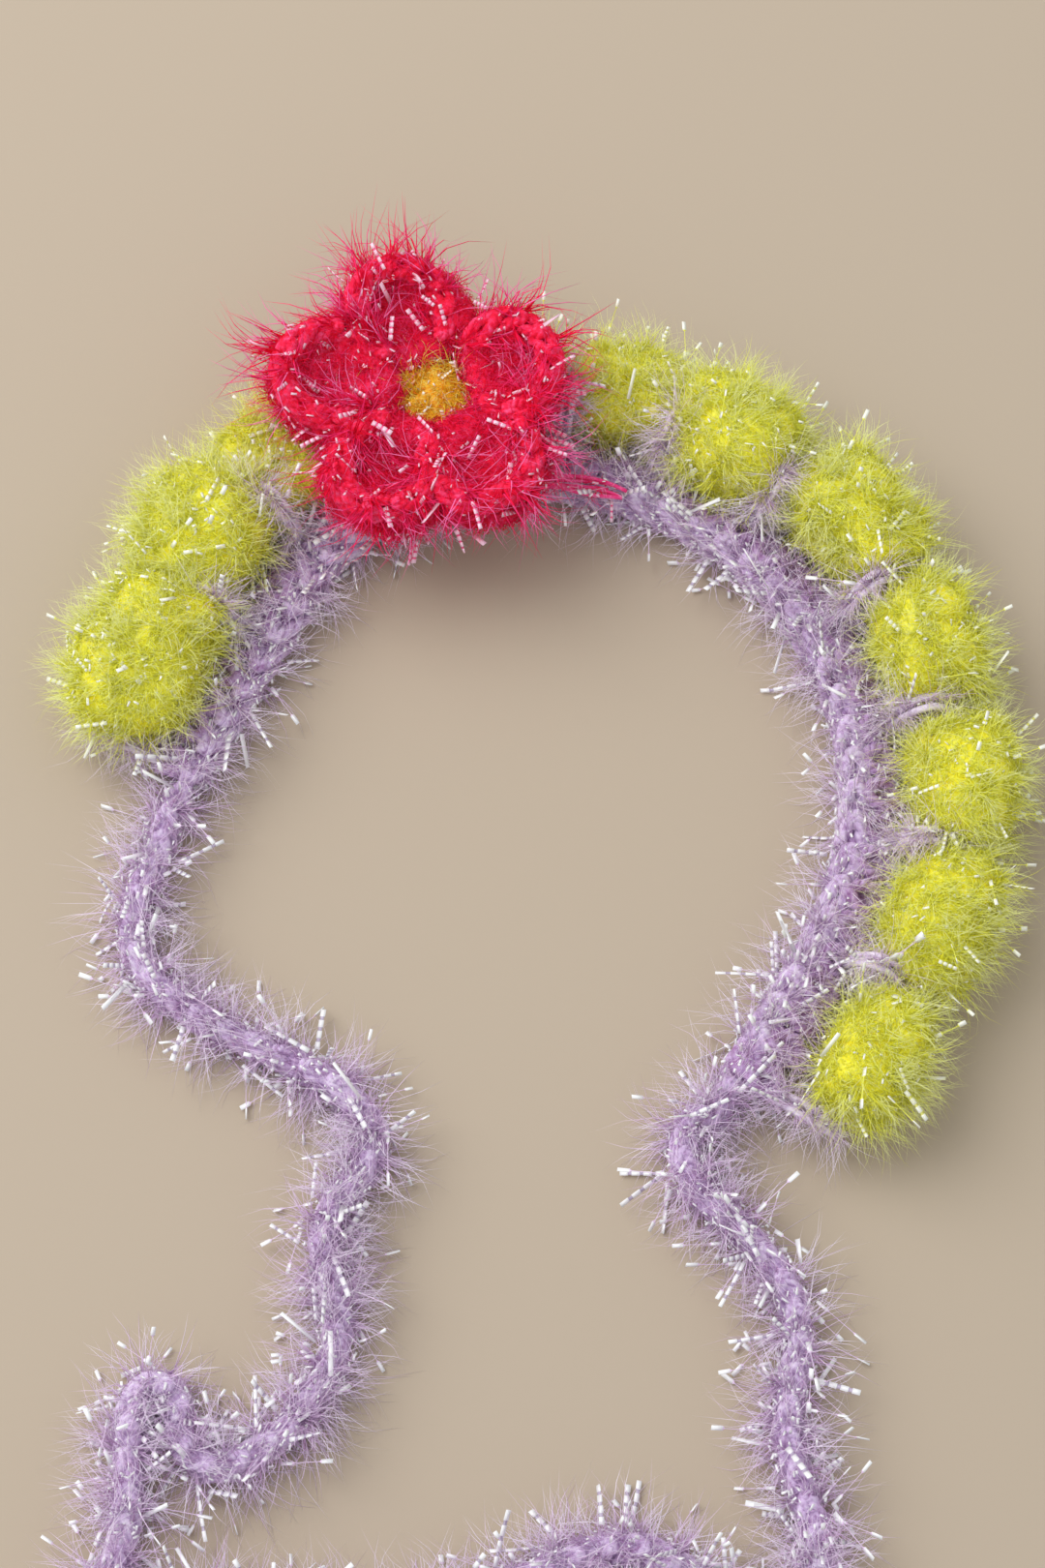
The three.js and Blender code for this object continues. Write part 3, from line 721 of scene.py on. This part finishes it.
post_count = round(arch_length / BAND_STITCH)
post_turn = np.linspace(0, 2 * math.pi, LOOP_STEPS, endpoint=False)
post_reach = (1 - np.cos(post_turn)) / 2
post_along = (np.arange(post_count)[:, None] + 0.5) * BAND_STITCH
post_along = post_along + np.sin(post_turn) * (POST_FOOT + (1 - POST_FOOT) * post_reach) * POST_HALF_WIDTH
post_along = post_along + band_draw.normal(0, POST_SHIFT, (post_count, 1))
post_along = np.clip(post_along, POST_END_GAP, arch_length - POST_END_GAP)
post_out = POST_START + (ROW_REACH - POST_START - ROW_YARN_RADIUS) * post_reach
post_up = ROW_HEIGHT - POST_SINK - POST_DROP * post_reach**2
post_up = post_up + band_draw.normal(0, POST_UNEVENNESS, (post_count, 1))
posts = plied_yarn(arch_at(post_along, post_out, post_up), ROW_YARN_RADIUS, slot=1)
band = make_piece("band_stitches", [band_body, chain, posts], [lilac_yarn, row_shaded_yarn])
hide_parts("band")

chain_fuzz = fuzz(band_draw, CordSeat(chain_lie, CHAIN_WIDTH), **CHAIN_PILE)
chain_pile = make_piece("band_chain_pile", chain_fuzz, lilac_fibres)
row_lie = Lie(arch_at(chain_along, ROW_MIDDLE, ROW_HEIGHT / 2))
row_fuzz = fuzz(band_draw, CordSeat(row_lie, ROW_HEIGHT), **ROW_PILE)
row_pile = make_piece("band_row_pile", row_fuzz, lilac_fibres)

# The bobbles.
# Round puffs in lemon yellow yarn: five tall stitches worked into one place and drawn together, so
# that each has soft lobes, and so felted and fuzzy that the stitches hardly show.
BOBBLE_LOBES = 5
LOBE_TWIST = 2.2
LOBE_DEPTH = 0.045
WAVES = 4
WAVE_PHASES = (0, 6)
WAVE_FINENESS = 3
WAVE_DEPTH = 0.032
BOBBLE_SWELL = np.array([0.6, -0.9, 0.0])
BOBBLE_SQUARENESS = 2.8
BOBBLE_LOWEST = 0.02
BOBBLE_COMB = 0.4
# How far a bobble leans along the row and outward from it, and its size beside the others.
BOBBLE_LEANS = {
    "bobble_01": (0.6, -1.3, 1.21),
    "bobble_02": (0.0, 1.0, 1.22),
    "bobble_03": (-0.7, 0.5, 1.14),
    "bobble_07": (0.3, -1.2, 1.13),
    "bobble_09": (0.4, -0.9, 0.94),
    "bobble_10": (0.9, -0.4, 1.0),
    "bobble_11": (0.2, -0.6, 0.97),
    "bobble_12": (0.0, 0.1, 0.84),
}

yellow_yarn = spun_yarn(
    "yellow_yarn", (0.88, 0.72, 0.01), (1.0, 0.92, 0.04), (1.0, 0.99, 0.2), grain=900
)
yellow_fibres = yarn_fibres(
    "yellow",
    [(1.0, 0.88, 0.02), (1.0, 0.97, 0.06), (0.99, 1.0, 0.14), (0.98, 1.0, 0.42)],
    painted_glint=(1.0, 1.0, 0.88),
    painted_shade=(0.76, 0.74, 0.16),
)
LOW_STAND = np.array([1, 1, 0.45])
BOBBLE_PILE = dict(
    felt=23, nap=2.3, lashes=3.6, reach=6.5, strips=0.026, strip=(4.0, 0.52), sparks=0.03, glints=0.26,
    lash=0.082, deep=0.06, pale=0.5, curl=0.8, stand=LOW_STAND,
)

SIDE_SHARE = 0.9
UNDER_SHARE = 0.1


class PuffSeat:
    """Where fibres root on a puff: all over the faces that don't lie underneath, in tufts that are
    each brushed their own way along the surface."""

    def __init__(self, points, faces):
        a, b, c = (points[faces[:, i]] for i in range(3))
        normal = np.cross(b - a, c - a)
        self.corners = a, b - a, c - a
        self.out = unit(normal)
        area = np.linalg.norm(normal, axis=1) / 2
        shown = area * np.clip(self.out[:, 2] + SIDE_SHARE, UNDER_SHARE, 1)
        self.amount = shown.sum()
        self.share = shown / self.amount

    def tufts(self, draw, count, tuft):
        """For each fibre its root, the way out of the puff, the tuft's lean and the tuft's mark."""
        groups = -(-count // tuft)
        pick = draw.choice(len(self.share), groups, p=self.share)
        u, v = draw.random((2, groups, 1))
        u, v = np.where(u + v > 1, 1 - u, u), np.where(u + v > 1, 1 - v, v)
        corner, side, other = (values[pick] for values in self.corners)
        out = self.out[pick]
        lean = unit(np.cross(out, draw.normal(size=(groups, 3))))
        shared = (corner + u * side + v * other, out, lean, draw.random(groups))
        roots, out, lean, mark = (np.repeat(values, tuft, axis=0)[:count] for values in shared)
        return roots + draw.normal(0, TUFT_SPREAD, (count, 3)), out, lean, mark


def ball(cuts=4):
    """An evenly divided unit ball: its points and faces."""
    form = bmesh.new()
    bmesh.ops.create_icosphere(form, subdivisions=cuts, radius=1)
    points = np.array([v.co for v in form.verts])
    faces = np.array([[v.index for v in f.verts] for f in form.faces])
    form.free()
    return points, faces


def soft_waves(draw, points, fineness):
    """A soft unevenness over the points: sine waves that run in directions of their own."""
    waves = 0
    for _ in range(WAVES):
        waves = waves + np.sin(points @ draw.normal(0, fineness, 3) + draw.uniform(*WAVE_PHASES))
    return waves


def place_on_row(node):
    """A node's corners in millimetres, and its own forward, outward and upward directions."""
    corners = np.array([v.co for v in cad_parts[node].data.vertices]) / MM
    middle = (corners.min(0) + corners.max(0)) / 2
    chain_line = arch_at(arch_along)
    nearest = chain_line[np.linalg.norm(chain_line[:, :2] - middle[:2], axis=1).argmin()]
    outward = unit((middle - nearest) * [1, 1, 0])
    return corners, np.stack([np.cross(outward, UP), outward, UP])


bobble_nodes = sorted(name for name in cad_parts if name.startswith("bobble"))
ball_points, ball_faces = ball()
for number, node in enumerate(bobble_nodes):
    draw = np.random.default_rng(100 + number)
    corners, axes = place_on_row(node)
    inside = corners @ axes.T
    along, outward, swell = BOBBLE_LEANS.get(node, (0, 0, 1))
    half = ((inside.max(0) - inside.min(0)) / 2 + BOBBLE_SWELL) * [swell, swell, 1]
    middle = (inside.max(0) + inside.min(0)) / 2 @ axes + axes[0] * along + axes[1] * outward
    swirl = np.arctan2(ball_points[:, 2], ball_points[:, 0])
    twist = LOBE_TWIST * ball_points[:, 1] + draw.uniform(*WAVE_PHASES)
    lobes = LOBE_DEPTH * np.cos(BOBBLE_LOBES * swirl + twist) * (1 - ball_points[:, 1] ** 2)
    waves = WAVE_DEPTH * soft_waves(draw, ball_points, WAVE_FINENESS)
    square = (np.abs(ball_points) ** BOBBLE_SQUARENESS).sum(1) ** (-1 / BOBBLE_SQUARENESS)
    form = ball_points * (square * (1 + lobes + waves))[:, None] * half
    points = middle + form @ axes
    points[:, 2] = np.maximum(points[:, 2], BOBBLE_LOWEST)
    puff = make_piece(f"{node}_puff", [(points, [(ball_faces, 0)])], [yellow_yarn])
    puff_fuzz = fuzz(draw, PuffSeat(points, ball_faces), **BOBBLE_PILE, comb=axes[1] * BOBBLE_COMB)
    puff_pile = make_piece(f"{node}_pile", puff_fuzz, yellow_fibres)
    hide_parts(node)

# The parting stitches.
# Between each two bobbles a lilac stitch comes up from the row and is drawn over their feet, so
# that two thin strands and a fan of pale lilac fibres lie on the seam there. The two at the row's
# ends have a bobble on one side only, so they lie low.
PARTING_RADIUS = 0.44
PARTING_STEPS = 16
PARTING_INSET = 3.6
PARTING_TUCK = 1.5
PARTING_REACH = 9.2
PARTING_FOOT = 3.4
PARTING_ARCH = 6.6
END_PARTING_ARCH = 1.4
PARTING_FULLNESS = 0.8
PARTING_DROP = 0.8
PARTING_GAP = 0.3
PARTING_BOW = 0.35
PARTING_PILE = dict(
    felt=26, nap=2.0, lashes=36, reach=7.4, strips=0.3, strip=(4.8, 0.55), sparks=0.4, glints=3,
    lash=0.09, deep=0.14, pale=0.5, curl=1.0,
)

parting_yarn = spun_yarn("parting_yarn", (0.55, 0.4, 0.62), (0.84, 0.72, 0.9), (1.0, 0.94, 1.0))
parting_nodes = sorted(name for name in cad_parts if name.startswith("parting"))
for number, node in enumerate(parting_nodes):
    draw = np.random.default_rng(200 + number)
    corners, (forward, outward, up) = place_on_row(node)
    root = (corners.min(0) + corners.max(0)) / 2 * [1, 1, 0] - outward * PARTING_INSET
    share = np.linspace(0, 1, PARTING_STEPS)
    swell = np.sin(np.pi * share)
    arch = END_PARTING_ARCH if node in (parting_nodes[0], parting_nodes[-1]) else PARTING_ARCH
    out = PARTING_REACH * share - PARTING_TUCK
    rise = PARTING_FOOT + arch * swell**PARTING_FULLNESS - PARTING_DROP * share
    aside = PARTING_GAP + PARTING_BOW * swell
    seam = root + outward * out[:, None] + up * rise[:, None]
    lines = np.array([seam + forward * (side * aside)[:, None] for side in (-1, 1)])
    legs = strands(lines, PARTING_RADIUS, forward, False)
    stitch = make_piece(f"{node}_legs", [legs], [parting_yarn])
    stitch_fuzz = fuzz(draw, CordSeat(Lie(lines.mean(axis=0)), 2 * PARTING_RADIUS), **PARTING_PILE)
    stitch_pile = make_piece(f"{node}_pile", stitch_fuzz, lilac_fibres)
    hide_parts(node)

# The flower's petals.
# Five cupped petals in hot pink yarn, worked round the centre. The last round of stitches rolls
# over into a thick rim with long lashes, slightly paler as a painted highlight on the raised rim,
# and short crimson felt fills the hollow.
PETAL_DIRECTIONS = np.radians([113, 174, 244, 299, 375])
PETAL_SWELL = 0.1
PETAL_SPREAD = 0.13
PETAL_ROOT_DRAW = 1.6
RIPPLE_FINENESS = 0.9
RIPPLE_DEPTH = 0.14
RIM_YARN_RADIUS = 0.72
RIM_STITCH = 3.0
RIM_WIDTH = 3.6
RIM_HEIGHT = 3.2
RIM_RISE = 0.5
RIM_HALF_TURN = 2.5
RIM_POINTS = 90
RIM_MIDDLE = 0.6
RIM_TIP_INSET = 1.2
RIM_SIDE_INSET = 1.1
RIM_LEVEL = 0.74
RIM_TIP_LIFT = 0.2
PETAL_COMB = 0.6
RIM_COMB = 0.9

pink_yarn = spun_yarn("pink_yarn", (0.82, 0.002, 0.02), (1.0, 0.012, 0.075), (1.0, 0.12, 0.32))
pink_fibres = yarn_fibres(
    "pink",
    [(0.98, 0.002, 0.02), (1.0, 0.005, 0.055), (1.0, 0.03, 0.17), (1.0, 0.2, 0.48)],
    painted_glint=(1.0, 0.66, 0.8),
    painted_shade=(0.92, 0.08, 0.26),
)
PETAL_PILE = dict(
    felt=28, nap=1.6, lashes=1.3, reach=4.8, strips=0.05, strip=(3.4, 0.62), sparks=0, glints=0.14,
    lash=0.09, deep=0.1, pale=0.2, curl=1.0, stand=0.45,
)
# The rim's pile takes more of the palest tone than the cup's: painted highlight on the raised rim.
RIM_PILE = dict(
    felt=28, nap=1.7, lashes=12, reach=8.8, strips=0.22, strip=(3.6, 0.6), sparks=0, glints=1.8,
    lash=0.18, deep=0.1, pale=0.3, curl=1.0, stand=LOW_STAND,
)


def triangles_of(faces):
    """Four-sided faces, each cut into two triangles."""
    return np.concatenate([faces[:, [0, 1, 2]], faces[:, [0, 2, 3]]])


low, high = (np.array(corner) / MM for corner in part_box("flower_centre"))
flower_middle = np.array([(low[0] + high[0]) / 2, (low[1] + high[1]) / 2, low[2]])
for number, direction in enumerate(PETAL_DIRECTIONS):
    node = f"petal_{number + 1:02d}"
    draw = np.random.default_rng(300 + number)
    outward = np.array([math.cos(direction), math.sin(direction), 0])
    aside = np.cross(UP, outward)
    points, normals, faces = solid_of(node, 2)
    local = points - flower_middle
    tip, half_width, rim_height = (local @ outward).max(), (local @ aside).max(), local[:, 2].max()
    ripple = RIPPLE_DEPTH * soft_waves(draw, points, RIPPLE_FINENESS)
    points = points + normals * (ripple + PETAL_SWELL)[:, None]
    points = points + aside * (local @ aside * PETAL_SPREAD)[:, None]
    points = points - outward * (PETAL_ROOT_DRAW * (1 - local @ outward / tip))[:, None]
    turn = np.linspace(-RIM_HALF_TURN, RIM_HALF_TURN, RIM_POINTS)
    rim_middle = tip * RIM_MIDDLE
    rim_out = rim_middle + np.cos(turn) * (tip - rim_middle - RIM_TIP_INSET)
    rim_aside = np.sin(turn) * (half_width - RIM_SIDE_INSET)
    rim_up = rim_height * (RIM_LEVEL + RIM_TIP_LIFT * np.cos(turn)) + RIM_RISE
    rim_line = outward * rim_out[:, None] + aside * rim_aside[:, None] + UP * rim_up[:, None]
    rim = Lie(flower_middle + rim_line)
    rim_stitches = chain_stitches(rim, RIM_STITCH, RIM_WIDTH, RIM_HEIGHT, RIM_YARN_RADIUS, draw)
    petal = make_piece(f"{node}_cup", [(points, [(faces, 0)]), rim_stitches], [pink_yarn])
    cup_seat = PuffSeat(points, triangles_of(faces))
    petal_fuzz = fuzz(draw, cup_seat, **PETAL_PILE, comb=outward * PETAL_COMB)
    petal_fuzz += fuzz(draw, CordSeat(rim, RIM_WIDTH), **RIM_PILE, comb=outward * RIM_COMB)
    petal_pile = make_piece(f"{node}_pile", petal_fuzz, pink_fibres)
    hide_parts(node)

# The flower's centre.
# A low golden button: the ring of loops that the petals are worked into, drawn together, and
# almost hidden by its own fuzz.
CENTRE_INSET = 0.4
CENTRE_SINK = 0.15
CENTRE_SPREAD = 1.28
CENTRE_LOOPS = 6
CENTRE_LOOP_STEPS = 20
CENTRE_LOOP_MIDDLE = 2.3
CENTRE_LOOP_HALF_LENGTH = 1.7
CENTRE_LOOP_HALF_WIDTH = 1.2
CENTRE_LOOP_DEPTH = 1.1
CENTRE_LOOP_TILT = 0.5
CENTRE_YARN_RADIUS = 0.6

golden_yarn = spun_yarn("golden_yarn", (0.92, 0.25, 0.01), (1.0, 0.5, 0.025), (1.0, 0.72, 0.12))
golden_fibres = yarn_fibres(
    "golden",
    [(1.0, 0.28, 0.008), (1.0, 0.48, 0.015), (1.0, 0.67, 0.04), (1.0, 0.88, 0.22)],
    painted_glint=(1.0, 0.97, 0.8),
    painted_shade=(0.85, 0.5, 0.08),
)
CENTRE_PILE = dict(
    felt=34, nap=2.2, lashes=4, reach=5.0, strips=0.14, strip=(2.4, 0.6), sparks=0, glints=0.36,
    lash=0.09, deep=0.2, pale=0.42, stand=LOW_STAND,
)

draw = np.random.default_rng(400)
points, normals, faces = solid_of("flower_centre", 1)
points = points - normals * CENTRE_INSET - UP * np.maximum(points[:, 2:] - low[2], 0) * CENTRE_SINK
points = flower_middle + (points - flower_middle) * [CENTRE_SPREAD, CENTRE_SPREAD, 1]
loop_turn = np.linspace(0, 2 * math.pi, CENTRE_LOOP_STEPS, endpoint=False)
loop_out = CENTRE_LOOP_MIDDLE + CENTRE_LOOP_HALF_LENGTH * np.cos(loop_turn)
loop_aside = CENTRE_LOOP_HALF_WIDTH * np.sin(loop_turn)
loop_up = (high[2] - low[2]) * (1 - CENTRE_SINK) - CENTRE_LOOP_DEPTH - CENTRE_LOOP_TILT * np.cos(loop_turn)
loops = []
for loop in range(CENTRE_LOOPS):
    angle = loop * 2 * math.pi / CENTRE_LOOPS
    out = np.array([math.cos(angle), math.sin(angle), 0])
    side = np.cross(UP, out)
    line = out * loop_out[:, None] + side * loop_aside[:, None] + UP * loop_up[:, None]
    loops.append(flower_middle + line)
button_loops = strands(np.array(loops), CENTRE_YARN_RADIUS, UP, True)
button = make_piece("flower_centre_button", [(points, [(faces, 0)]), button_loops], [golden_yarn])
button_fuzz = fuzz(draw, PuffSeat(points, triangles_of(faces)), **CENTRE_PILE)
button_pile = make_piece("flower_centre_pile", button_fuzz, golden_fibres)
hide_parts("flower_centre")

# The sewing yarn.
# Pink yarn holds the flower down: two short stitches into the chain under it, and a loose tail
# whose strands lie along the chain beside it.
SEWING_PLY_RADIUS = 0.36
SEWING_STEPS = 10
SEWING_TWIST = 2.5
TAIL_STEPS = 24
TAIL_STRANDS = 7
TAIL_STRAND_RADIUS = 0.24
TAIL_WIDTH = 1.6
TAIL_LENGTHS = (0.75, 1)
TAIL_ASIDE = -1.5
TAIL_SPREADS = (-0.9, 0.9)
TAIL_WAVES = (3, 7)
TAIL_WAVE_DEPTH = 0.5
TAIL_RISES = (-0.2, 0.5)
TAIL_RIPPLE = 5
TAIL_RIPPLE_DEPTH = 0.3
TAIL_PILE = dict(
    felt=10, nap=1.8, lashes=3, reach=4.6, strips=0.25, strip=(3.2, 0.4), sparks=0, glints=1.2,
    lash=0.09, deep=0.1, pale=0.6,
)

for node in ("sewing_stitch_01", "sewing_stitch_02"):
    low, high = (np.array(corner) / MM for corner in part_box(node))
    middle = (low + high) / 2
    share = np.linspace(0, 1, SEWING_STEPS)
    lines = []
    for ply in range(PLIES):
        turn = ply * 2 * math.pi / PLIES + share * SEWING_TWIST
        x, y = (middle[i] + f(turn) * SEWING_PLY_RADIUS for i, f in enumerate((np.cos, np.sin)))
        lines.append(np.stack([x, y, low[2] + (high[2] - low[2]) * share], -1))
    stitch_yarn = strands(np.array(lines), SEWING_PLY_RADIUS, np.array([1, 0, 0]), False)
    stitch = make_piece(f"{node}_yarn", [stitch_yarn], [pink_yarn])
    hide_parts(node)

draw = np.random.default_rng(500)
tail_corners = np.array([v.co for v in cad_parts["sewing_tail"].data.vertices]) / MM
chain_line = arch_at(arch_along)[:, :2]
tail_near = [np.linalg.norm(chain_line - corner[:2], axis=1).argmin() for corner in tail_corners]
tail_start, tail_stop = arch_along[min(tail_near)], arch_along[max(tail_near)]
tail_up = (tail_corners[:, 2].min() + tail_corners[:, 2].max()) / 2
share = np.linspace(0, 1, TAIL_STEPS)
lines = []
for _ in range(TAIL_STRANDS):
    along = tail_start + (tail_stop - tail_start) * share * draw.uniform(*TAIL_LENGTHS)
    aside = TAIL_ASIDE + draw.uniform(*TAIL_SPREADS)
    wave = np.sin(share * draw.uniform(*TAIL_WAVES) + draw.uniform(*WAVE_PHASES))
    up = tail_up + draw.uniform(*TAIL_RISES) + TAIL_RIPPLE_DEPTH * np.sin(share * TAIL_RIPPLE)
    lines.append(arch_at(along, aside + wave * TAIL_WAVE_DEPTH, up))
tail_pink = spun_yarn("tail_yarn", (0.75, 0.01, 0.12), (1.0, 0.07, 0.3), (1.0, 0.4, 0.66))
tail_yarn = strands(np.array(lines), TAIL_STRAND_RADIUS, UP, False)
tail = make_piece("sewing_tail_strands", [tail_yarn], [tail_pink])
tail_fuzz = fuzz(draw, CordSeat(Lie(np.mean(lines, axis=0)), TAIL_WIDTH), **TAIL_PILE)
tail_pile = make_piece("sewing_tail_pile", tail_fuzz, pink_fibres)
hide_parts("sewing_tail")

# The table and the light.
# The headband lies on a plain pale table top. A broad, soft window light comes from the upper left,
# and the rest of the room gives an even fill.
TABLE_COLOUR = (0.5, 0.41, 0.31)
TABLE_HALF = 3.0
WINDOW_PLACE = Vector((-0.56, 0.28, 0.72))
WINDOW_WIDTH = 0.9
WINDOW_POWER = 6.5
FILL_COLOUR = (0.95, 0.97, 1.0)
FILL_STRENGTH = 0.7

table_mesh = bpy.data.meshes.new("table_top")
table_corners = [(x * TABLE_HALF, y * TABLE_HALF, 0) for x, y in ((-1, -1), (1, -1), (1, 1), (-1, 1))]
table_mesh.from_pydata(table_corners, [], [(0, 1, 2, 3)])
table_mesh.materials.append(one_tone("table_top", TABLE_COLOUR, roughness=0.8))
table = bpy.data.objects.new("table_top", table_mesh)
bpy.context.scene.collection.objects.link(table)

window = bpy.data.objects.new("window_light", bpy.data.lights.new("window_light", "AREA"))
window.data.shape = "DISK"
window.data.size = WINDOW_WIDTH
window.data.energy = WINDOW_POWER
window.location = WINDOW_PLACE
window.rotation_euler = (-WINDOW_PLACE).to_track_quat("-Z", "Y").to_euler()
bpy.context.scene.collection.objects.link(window)

world = bpy.data.worlds.new("room")
world.use_nodes = True
world.node_tree.nodes["Background"].inputs["Color"].default_value = (*FILL_COLOUR, 1)
world.node_tree.nodes["Background"].inputs["Strength"].default_value = FILL_STRENGTH
bpy.context.scene.world = world
bpy.context.scene.view_settings.view_transform = "Standard"
